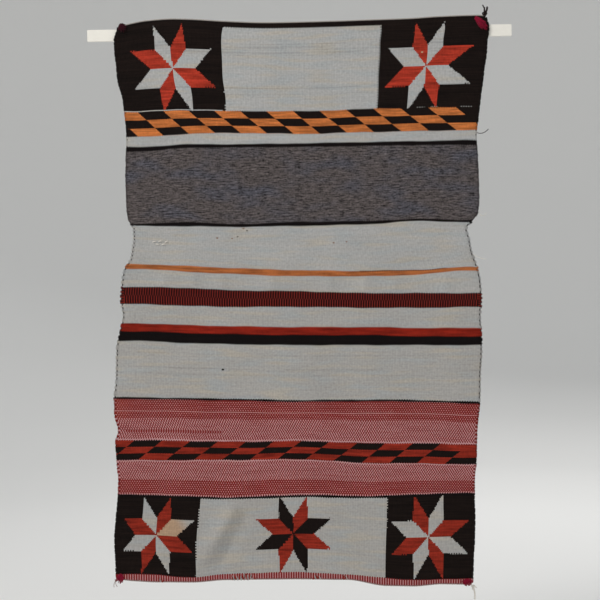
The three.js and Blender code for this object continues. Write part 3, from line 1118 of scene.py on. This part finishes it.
# Unevenness of a yarn: how often it changes round it and along it, and its height and tone
FIBRE = {"around": 9, "along": 0.3, "layer": 1.0, "detail": 3.0, "height": 0.5, "tone": 0.7}
PATCH = {"around": 1.5, "along": 0.12, "layer": 2.0, "detail": 2.0, "height": 0.15, "tone": 0.4}


def fibres_group():
    """Fibres that lie along a twisted yarn: their height and tone."""
    group = Group("Yarn fibres", ("Around", "Along", "Twist"), ("Height", "Tone"))
    around, along, twist = group.fields

    def uneven(kind, at):
        return noise(group.tree, at * kind["around"], along * kind["along"], kind["layer"], kind["detail"])

    fibre = uneven(FIBRE, around + along / twist)
    patch = uneven(PATCH, around)
    group.give(Height=fibre * FIBRE["height"] + patch * PATCH["height"])
    group.give(Tone=fibre * FIBRE["tone"] + patch * PATCH["tone"] + 1.0)
    return group


def new_material(name):
    material = bpy.data.materials.new(name)
    material.use_nodes = True
    tree = material.node_tree
    return material, tree, tree.nodes["Principled BSDF"]


def raised(tree, shader, height):
    """Relief in millimetres on a shader's surface."""
    bump = tree.nodes.new("ShaderNodeBump")
    bump.inputs["Strength"].default_value = 1.0
    bump.inputs["Distance"].default_value = MM
    connect(tree, bump.inputs["Height"], height)
    tree.links.new(bump.outputs[0], shader.inputs["Normal"])


def woollen(shader, roughness, sheen):
    """The dry look of wool, with the faint sheen of its fibres."""
    shader.inputs["Roughness"].default_value = roughness
    shader.inputs["Specular IOR Level"].default_value = 0.1
    shader.inputs["Sheen Weight"].default_value = sheen
    shader.inputs["Sheen Roughness"].default_value = 0.45


WEAVE = {"warp": 2.7, "pick": 1.35, "tooth": 1.5, "motif_step": 3.0, "motif_tooth": 0.8}
MOTTLES = table(  # soft patches in the wool: how long and high, their layer, detail and strength
    "name long high layer detail strength",
    ("wander", 40, 25, 5.0, 2.0, 1.0),
    ("brown dye", 70, 2.6, 5.5, 2.0, 2.2),
    ("bright dye", 44, 4.2, 5.7, 3.0, 1.8),
    ("cool white", 70, 14, 6.0, 0.0, 1.0),
    ("cream white", 90, 10, 7.0, 0.0, 1.0),
    ("heather", 16, 3.2, 8.0, 3.0, 3.4),
    ("fine heather", 4.2, 3.2, 9.0, 2.0, 2.0),
    ("blue grey", 90, 34, 9.5, 1.0, 1.0),
    ("twill fade", 60, 5, 12.0, 2.0, 0.35),
    ("drift", 130, 90, 30.0, 2.0, 0.16),
    ("uneven picks", 200, 3.6, 31.0, 3.0, 0.22),
)
TINTS = table(  # yarns that come through another in patches: where the patch starts and is full
    "name starts full strength",
    ("cool white", -0.04, 0.22, 0.5),
    ("cream white", 0.0, 0.24, 0.5),
    ("blue grey", -0.12, 0.3, 1.0),
)
STREAK = {"long": 90, "high": 40, "layer": 20.0, "starts": -0.16, "full": 0.08}
STREAKS = table(  # greyish picks in the white: distance down, half height, how dark
    "down half dark",
    (48, 1.8, 0.10),
    (55, 2.4, 0.15),
    (61, 1.6, 0.10),
    (68, 2.4, 0.14),
    (73, 1.2, 0.10),
    (146, 1.5, 0.16),
    (160, 1.2, 0.08),
    (468, 1.0, 0.05),
    (724, 1.6, 0.09),
    (754, 1.8, 0.10),
    (767, 1.3, 0.08),
    (1085, 1.2, 0.06),
)
SPECKS = table(  # bits of other wool caught in the weft
    "x z size yarn",
    (-164.5, -724.5, 2.0, "black"),
    (-122, -421, 1.8, "tan"),
    (-113, -426, 1.3, "brown"),
    (-176, -442, 1.7, "tan"),
    (-144, -443, 1.4, "tan"),
    (-132, -439, 1.3, "brown"),
    (74, -452, 1.5, "tan"),
    (102, -450, 1.3, "tan"),
    (-343, -1179, 1.7, "white"),
    (263, -42, 1.8, "cream"),
)
SPECK_ACROSS = 0.7  # how much a distance across counts, so that a speck is longer along the weft
# the lower white is warmer and a little darker; its darkening is painted shade towards the bottom
WHITE_FADE = (400.0, 700.0)  # down here the upper white goes over into the lower one


class Place:
    """Where a point of the cloth lies on the weave, in fields of one material, in millimetres."""

    def __init__(self, tree):
        self.tree = tree
        self.across, self.down = surface_places(tree, "Weave", (MM_IN_METRE, MM_IN_METRE))
        self.x, self.drop = surface_places(tree, "Hung", (MM_IN_METRE, MM_IN_METRE))
        warp = (self.across / WEAVE["warp"]).whole()
        self.odd = warp.odd()
        self.tooth = self.odd - 0.5
        self.pairs = self.across / (2 * WEAVE["warp"])
        # the places that a band's edge and a motif's edge keep to, in steps of warps and picks
        self.toothed = self.down + self.tooth * WEAVE["tooth"]
        self.stepped = (warp + 0.5) * WEAVE["warp"]
        motif_row = (self.down / WEAVE["motif_step"]).whole() + 0.5
        self.paired = motif_row * WEAVE["motif_step"] + self.tooth * WEAVE["motif_tooth"]
        self.wander = self.mottle("wander")
        self.dyed = self.mottle("bright dye") + 1

    def mottle(self, name):
        row = named(MOTTLES, name)
        patch = noise(self.tree, self.across / row.long, self.down / row.high, row.layer, row.detail)
        return patch * row.strength

    def tinted(self, under, name):
        """A yarn laid over a colour in soft patches."""
        row = named(TINTS, name)
        share = self.mottle(name).eased(row.starts, row.full) * row.strength
        return over(self.tree, under, share, linear(name))


def star_bands(place, white, star_shape):
    """Brown ground with a white panel in each band, and the five stars."""
    tree = place.tree
    bands = toned(tree, linear("brown"), place.mottle("brown dye") + 1)
    notched = ((place.down / PANEL_EDGE["step"]).odd() - 0.5) * PANEL_EDGE["notch"]
    for row in PANELS:
        share = (place.paired - row.top) / (row.bottom - row.top)
        waver = noise(tree, place.paired / PANEL_EDGE["wander_length"], 0.0, row.top)
        edge = place.stepped + waver * PANEL_EDGE["wander"] + notched
        left = share * (row.left_low - row.left) + row.left
        right = share * (row.right_low - row.right) + row.right
        panel = (edge > left) * (edge < right) * place.toothed.within(row.top, row.bottom)
        bands = over(tree, bands, panel, white)
    for number, row in enumerate(STARS):
        across = place.x + place.stepped - place.across - row.x
        down = place.drop + place.paired - place.down + row.z
        star = star_shape.placed(
            tree,
            Across=across + place.wander * STAR_WANDER,
            Down=down,
            Corner_across=row.corner_x,
            Corner_down=row.corner_z,
            Level_tip=row.reach_x,
            Upright_tip=row.reach_z,
            Longer=row.longer,
            Deeper=row.deeper,
            Lean=row.lean,
            Sinks=row.sinks,
            Rises=row.rises,
            Turned=row.turned,
        )
        light = white if row.light == "white" else linear(row.light)
        rays = over(tree, toned(tree, linear(row.dark), place.dyed), star["Light ray"], light)
        if number == CREAM_STAR:
            towards_tip = across - down * CREAM_LEAN
            inner = towards_tip.eased(*CREAM_FADE).turned() * star["Level right ray"]
            rays = over(tree, rays, inner, linear("cream"))
        bands = over(tree, bands, star["Inside"], rays)
    return bands


def leaning_checks(place, checks_shape):
    """The two bands of checks, each under the name of its upper line."""
    tree = place.tree
    bands = {}
    for row in CHECKS:
        line = named(LINES, row.line)
        height = LINES[LINES.index(line) + 1].down - line.down
        across = place.x - row.start + ((place.x / CHECK["bow"]) ** 2.0).turned() * row.bulge
        across = across + place.wander * CHECK["wander"]
        across = across + (place.stepped - place.across) * CHECK["stepped"]
        down = place.down + place.tooth * CHECK["tooth"] - line.down
        made = checks_shape.placed(
            tree,
            Across=across,
            Down=down.most(CHECK["least_down"]),
            Pitch=row.pitch,
            Row=height / row.rows,
            Slant=row.slant,
        )
        dark = made["Dark"].turned()
        for end in CHECK_ENDS:
            if end.line == row.line:
                there = place.x.within(end.left, end.right) * place.down.within(end.top, end.bottom)
                dark = dark.most(there) if end.dark else dark * there.turned()
        light = toned(tree, linear(row.light), place.dyed)
        bands[row.line] = over(tree, light, dark, linear("brown"))
    return bands


def heathered_grey(place):
    """Light and dark wool carded together."""
    heather = place.mottle("heather") + place.mottle("fine heather")
    return toned(place.tree, place.tinted(linear("grey"), "blue grey"), heather + 1)


def red_bars(place):
    """Bars that change places half way down, with whole red picks at the side edges."""
    changed = (place.down > BARS["change"]) * 0.5
    bars = (place.pairs + changed).part() < BARS["share"]
    at_edge = place.across.size() > BARS["edge"]
    turned_red = (place.down / (4 * WEAVE["pick"])).part() < BARS["edge_share"]
    red = bars * at_edge.turned() + turned_red * at_edge
    return over(place.tree, linear("black"), red, linear("bar red"))


def diamond_twills(place, twill_shape):
    """Dark at the top, paler below one light line, and pale from its first row in the lower one."""
    tree, across, down = place.tree, place.across, place.down
    red, white = linear("twill red"), linear("twill white")
    fade = place.mottle("twill fade")
    paler = (down > TWILL["paler_from"]) * TWILL["paler"] - (down > TWILL["paler_to"]) * TWILL["paler"]
    by_checks = down.within(*TWILL["over_checks"]) + down.within(*TWILL["under_checks"])
    share = paler + TWILL["light"] + by_checks * (fade + TWILL["edge_light"])
    made = twill_shape.placed(
        tree, Across=across, Down=down, Pair=TWILL["pair"], Rise=TWILL["rise"], Share=share + fade
    )
    deep_end = (across * -1).eased(*TWILL["deep_end"]) * (down < TWILL["deep_above"]) * TWILL["deep"]
    twill = over(tree, over(tree, red, deep_end, linear("deep red")), made["Light"], white)
    line = down.within(*TWILL["light_line"]) * (place.odd + 1) * TWILL["line_strength"]
    twill = over(tree, twill, line, white)
    pair = place.pairs.part() < TWILL["dash"]
    dashes = down.within(*TWILL["dashes"]) * across.within(*TWILL["dashes_across"])
    dashed = over(tree, red, pair * TWILL["dash_strength"], white)
    twill = over(tree, twill, dashes, dashed)
    return over(tree, twill, down.within(*TWILL["last_picks"]) * pair, white)


def border_ticks(place):
    """Upright red and pinkish ticks in the last rows."""
    pair = place.pairs.part() < TWILL["dash"]
    return over(place.tree, linear("twill red"), pair * TICKS, linear("twill white"))


def single_picks(place, colour, white):
    """Whole and broken picks that have strayed past the edge of their band."""
    for row in EDGE_PICKS:
        there = place.down.within(row.top, row.bottom) * place.across.within(row.left, row.right)
        if row.broken:
            there = there * (place.pairs.part() < BROKEN_PICK)
        yarn = white if row.yarn == "white" else linear(row.yarn)
        colour = over(place.tree, colour, there * row.strength, yarn)
    return colour


def caught_specks(place, colour):
    for row in SPECKS:
        across, down = woven_place(row.x, row.z)
        away = ((place.across - across) * SPECK_ACROSS) ** 2.0 + (place.down - down) ** 2.0
        colour = over(place.tree, colour, away < row.size**2, linear(row.yarn))
    return colour


def pattern(place, groups):
    """The blanket's colour at each woven place, from its top edge to its bottom edge."""
    tree = place.tree
    black = linear("black")
    # white that turns warmer and a little darker lower down: the darkening is painted shade
    white = over(tree, linear("white"), place.down.eased(*WHITE_FADE), linear("low white"))
    white = place.tinted(place.tinted(white, "cool white"), "cream white")
    stars = star_bands(place, white, groups["star"])
    checks = leaning_checks(place, groups["checks"])
    twill = diamond_twills(place, groups["twill"])
    woven_in = {
        "checks above": checks["checks above"],
        "white under checks": white,
        "black over grey": black,
        "grey": heathered_grey(place),
        "black under grey": black,
        "white over orange": white,
        "orange": toned(tree, linear("stripe orange"), place.dyed),
        "white under orange": white,
        "bars": red_bars(place),
        "white under bars": white,
        "red": toned(tree, linear("stripe red"), place.dyed),
        "black under red": black,
        "wide white": white,
        "black over twill": black,
        "upper twill": twill,
        "checks below": checks["checks below"],
        "lower twill": twill,
        "black under twill": black,
        "stars below": stars,
        "border": border_ticks(place),
    }
    colour = stars
    for line in LINES:
        colour = over(tree, colour, place.toothed > line.down, woven_in[line.name])
    return caught_specks(place, single_picks(place, colour, white))


def streaks(place):
    """Tone of the greyer picks that run part of the way across."""
    tone = place.across * 0 + 1  # 1 all over, as a field
    for number, row in enumerate(STREAKS):
        across, down = place.across / STREAK["long"], place.down / STREAK["high"]
        some = noise(place.tree, across, down, STREAK["layer"] + number)
        some = some.eased(STREAK["starts"], STREAK["full"])
        here = place.down.within(row.down - row.half, row.down + row.half)
        tone = tone - here * some * row.dark
    return tone


def cloth_material(groups):
    material, tree, shader = new_material("hand woven wool")
    place = Place(tree)
    weave = groups["weave"].placed(
        tree, Across=place.across, Down=place.down, Warp=WEAVE["warp"], Pick=WEAVE["pick"]
    )
    uneven = place.mottle("drift") + place.mottle("uneven picks") + 1
    # the weave's tone holds painted shade in its grooves
    tone = weave["Tone"] * uneven * streaks(place)
    connect(tree, shader.inputs["Base Color"], toned(tree, pattern(place, groups), tone))
    woollen(shader, roughness=0.9, sheen=0.04)
    raised(tree, shader, weave["Height"])
    return material


YARN_TWIST = 3.0
YARN_RELIEF = 0.4


def yarn_material(yarn, groups):
    material, tree, shader = new_material(yarn + " yarn")
    around, along = surface_places(tree, "Yarn", (1.0, MM_IN_METRE))
    fibres = groups["fibres"].placed(tree, Around=around, Along=along, Twist=YARN_TWIST)
    connect(tree, shader.inputs["Base Color"], toned(tree, linear(yarn), fibres["Tone"]))
    woollen(shader, roughness=0.88, sheen=0.06)
    raised(tree, shader, fibres["Height"] * YARN_RELIEF)
    return material


PAINT_MARKS = table(
    "name long high layer detail tone rough relief",
    ("brush", 90, 0.8, 1.0, 3.0, 0.06, 0.15, 0.08),
    ("dust", 14, 9, 2.0, 4.0, 0.1, 0.2, 0.0),
    ("wear", 5, 3, 3.0, 4.0, 0.0, 0.0, -0.06),
)
PAINT_ROUGHNESS = 0.42
WORN = {"starts": 0.16, "full": 0.26, "bare": 0.35}  # where the last mark, wear, bares the wood


def painted_wood_material():
    """White paint with brush lines along the slat and a little dust and wear."""
    material, tree, shader = new_material("white painted wood")
    place = tree.nodes.new("ShaderNodeTexCoord")
    parts = tree.nodes.new("ShaderNodeSeparateXYZ")
    tree.links.new(place.outputs["Object"], parts.inputs[0])
    x = Field(tree, parts.outputs[0]) * MM_IN_METRE
    z = Field(tree, parts.outputs[2]) * MM_IN_METRE
    tone, roughness, relief = 1, PAINT_ROUGHNESS, 0
    for row in PAINT_MARKS:
        mark = noise(tree, x / row.long, z / row.high, row.layer, row.detail)
        if row.name == "wear":
            mark = mark.eased(WORN["starts"], WORN["full"])
        tone = mark * row.tone + tone
        roughness = mark * row.rough + roughness
        relief = mark * row.relief + relief
    colour = over(tree, toned(tree, linear("paint"), tone), mark * WORN["bare"], linear("tan"))
    connect(tree, shader.inputs["Base Color"], colour)
    connect(tree, shader.inputs["Roughness"], roughness)
    raised(tree, shader, relief)
    return material


def studio_material():
    material, tree, shader = new_material("pale studio paper")
    shader.inputs["Base Color"].default_value = linear("studio")
    shader.inputs["Roughness"].default_value = 0.9
    shader.inputs["Specular IOR Level"].default_value = 0.1
    return material


# The studio: a round pale bowl with an open top, wide enough to stand all cameras inside
BOWL = {"floor": -1450.0, "radius": 7000.0, "bend": 3400.0, "rim": 2200.0, "sectors": 72}


def studio_bowl(material):
    bend = np.linspace(0, math.pi / 2, 9)
    flat = BOWL["radius"] - BOWL["bend"]
    profile = [(0.0, 0.0), (flat * 0.5, 0.0)]
    profile += [(flat + BOWL["bend"] * math.sin(a), BOWL["bend"] * (1 - math.cos(a))) for a in bend]
    profile.append((BOWL["radius"], BOWL["rim"] - BOWL["floor"]))
    points = [(0.0, 0.0, BOWL["floor"] * MM)]
    faces = []
    sectors = BOWL["sectors"]
    for radius, rise in profile[1:]:
        for sector in range(sectors):
            angle = sector * math.tau / sectors
            point = (radius * math.cos(angle), radius * math.sin(angle), BOWL["floor"] + rise)
            points.append(tuple(value * MM for value in point))
    for sector in range(sectors):
        after = (sector + 1) % sectors
        faces.append((0, 1 + sector, 1 + after))
        for ring in range(len(profile) - 2):
            low, high = 1 + ring * sectors, 1 + (ring + 1) * sectors
            faces.append((low + sector, high + sector, high + after, low + after))
    mesh = bpy.data.meshes.new("studio_bowl")
    mesh.from_pydata(points, [], faces)
    mesh.polygons.foreach_set("use_smooth", [True] * len(mesh.polygons))
    mesh.materials.append(material)
    bowl = bpy.data.objects.new("studio_bowl", mesh)
    bpy.context.scene.collection.objects.link(bowl)


LIGHTS = table(  # where each soft box stands, what it faces, its side, its power and its warmth
    "name x y z at_z side power colour",
    ("key", -2500, -2100, 2000, -200, 1200, 84, (1.0, 0.99, 0.97)),
    ("fill", 2900, -2700, 600, -500, 1800, 22, (0.97, 0.985, 1.0)),
    ("back", 1400, 3600, 1500, -600, 2200, 60, (1.0, 1.0, 1.0)),
)
SKY = {"colour": (0.93, 0.96, 1.0, 1.0), "strength": 0.44}


def light_studio():
    for row in LIGHTS:
        lamp = bpy.data.lights.new(row.name, "AREA")
        lamp.size = row.side * MM
        lamp.energy = row.power
        lamp.color = row.colour
        light = bpy.data.objects.new(row.name, lamp)
        light.location = Vector((row.x, row.y, row.z)) * MM
        facing = Vector((0, 0, row.at_z)) * MM - light.location
        light.rotation_euler = facing.to_track_quat("-Z", "Y").to_euler()
        bpy.context.scene.collection.objects.link(light)
    world = bpy.data.worlds.new("open sky")
    world.use_nodes = True
    world.node_tree.nodes["Background"].inputs[0].default_value = SKY["colour"]
    world.node_tree.nodes["Background"].inputs[1].default_value = SKY["strength"]
    bpy.context.scene.world = world


def place_camera():
    lens = bpy.data.cameras.new("front")
    lens.sensor_width = SENSOR
    lens.lens = SENSOR * CAMERA["distance"] / CAMERA["width"]
    camera = bpy.data.objects.new("front", lens)
    front = MIDDLE - THICKNESS / 2
    camera.location = Vector((CAMERA["x"], front - CAMERA["distance"], CAMERA["z"])) * MM
    camera.rotation_euler = (math.pi / 2, 0, 0)
    bpy.context.scene.collection.objects.link(camera)
    bpy.context.scene.camera = camera


def dressed(piece, slot, *nodes):
    """Rides a piece on the object's one body, for the solids it stands for, which are hidden. The slot is
    not used.
    """
    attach(piece, "root")
    if nodes:
        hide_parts(*nodes)
    return piece


SLOTS = {  # a material slot name for each yarn
    "light cord": "light_cord",
    "pinkish cord": "pinkish_cord",
    "thread pink": "pinkish_cord",
    "dark cord": "dark_cord",
    "brown": "dark_cord",
    "thread white": "white_yarn",
    "maroon": "maroon_yarn",
    "crimson": "crimson_yarn",
    "deep red": "woven_wool",
    "low white": "woven_wool",
}

bpy.context.scene.view_settings.view_transform = "Standard"
place_camera()
light_studio()
studio_bowl(studio_material())

groups = {
    "weave": woven_surface_group(),
    "star": star_group(),
    "checks": checks_group(),
    "twill": twill_group(),
    "fibres": fibres_group(),
}
wool = cloth_material(groups)
yarns = {yarn: yarn_material(yarn, groups) for yarn in SLOTS}

blanket = dressed(blanket_web(wool), "woven_wool", "blanket")
trim = [dressed(weft_turns(wool), "woven_wool")]
top_cord = end_cord("top_edge_cord", 0.0, 1, yarns["light cord"])
trim.append(dressed(top_cord, SLOTS["light cord"], "top_cord"))
bottom_cord = end_cord("bottom_edge_cord", WOVEN_LENGTH, -1, yarns["pinkish cord"])
trim.append(dressed(bottom_cord, SLOTS["pinkish cord"], "bottom_cord"))
for side in ("left", "right"):
    cord = side_cord(side + "_side_cord", side, yarns["dark cord"])
    trim.append(dressed(cord, SLOTS["dark cord"], side + "_cord"))
for row in TASSELS:
    trim.append(dressed(tassel(row, yarns[row.yarn]), SLOTS[row.yarn], "tassel_" + row.name))
for row in KNOTS:
    trim.append(dressed(knotted_ends(row, yarns[row.yarn]), SLOTS[row.yarn], row.node))
for row in LOOSE_ENDS:
    trim.append(dressed(loose_weft(row, yarns[row.yarn]), SLOTS[row.yarn], row.node))
for row in BORDER_LOOPS:
    trim.append(dressed(border_loops(row.name, row.parity, yarns[row.yarn]), SLOTS[row.yarn]))
trim.append(dressed(white_slubs(yarns["thread white"]), "woven_wool"))

slat = bpy.data.objects["slat"]
for material_slot in slat.material_slots:
    material_slot.material = painted_wood_material()
